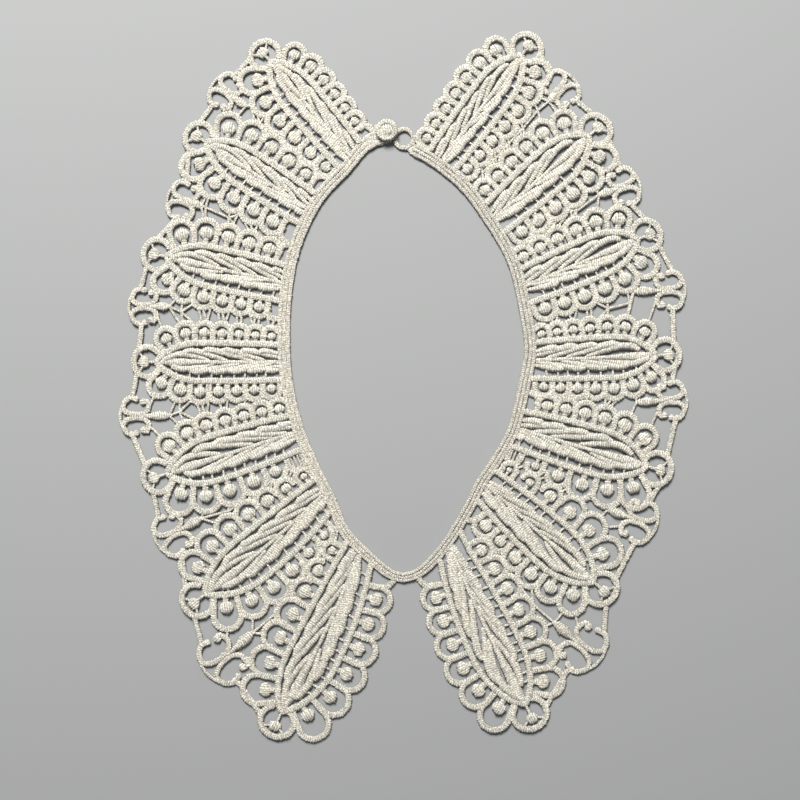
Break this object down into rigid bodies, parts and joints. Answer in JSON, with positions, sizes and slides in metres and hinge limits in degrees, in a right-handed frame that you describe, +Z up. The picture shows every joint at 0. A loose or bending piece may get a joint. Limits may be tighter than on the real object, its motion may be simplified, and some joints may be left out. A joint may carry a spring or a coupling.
{
  "type": "lace collar",
  "caption": "Flat detachable lace collar: two scalloped openwork halves with raised leaf motifs on a narrow neckband, closed at the back by a button and loop.",
  "frame": {"origin": "centre of the box that holds the collar, on the surface it lies on", "axes": "+Z up out of the surface, +Y to the back of the neck where it closes, +X to the half that carries the button loop"},
  "size_m": [0.2396, 0.298, 0.0043],
  "materials": {
    "lace": "matt cream cotton satin-stitch cords, openwork",
    "leaf_relief": "matt cream cotton, padded satin stitch",
    "neckband": "matt cream cotton, rows of stitching along its length",
    "fastening": "matt cream cotton, dense satin stitch"
  },
  "bodies": {
    "root": {"lace_left": "lace", "lace_right": "lace", "leaf_left_1": "leaf_relief", "leaf_left_2": "leaf_relief", "leaf_left_3": "leaf_relief", "leaf_left_4": "leaf_relief", "leaf_left_5": "leaf_relief", "leaf_left_6": "leaf_relief", "leaf_left_7": "leaf_relief", "leaf_right_1": "leaf_relief", "leaf_right_2": "leaf_relief", "leaf_right_3": "leaf_relief", "leaf_right_4": "leaf_relief", "leaf_right_5": "leaf_relief", "leaf_right_6": "leaf_relief", "leaf_right_7": "leaf_relief", "neckband": "neckband", "button": "fastening", "button_loop": "fastening"}
  },
  "joints": []
}
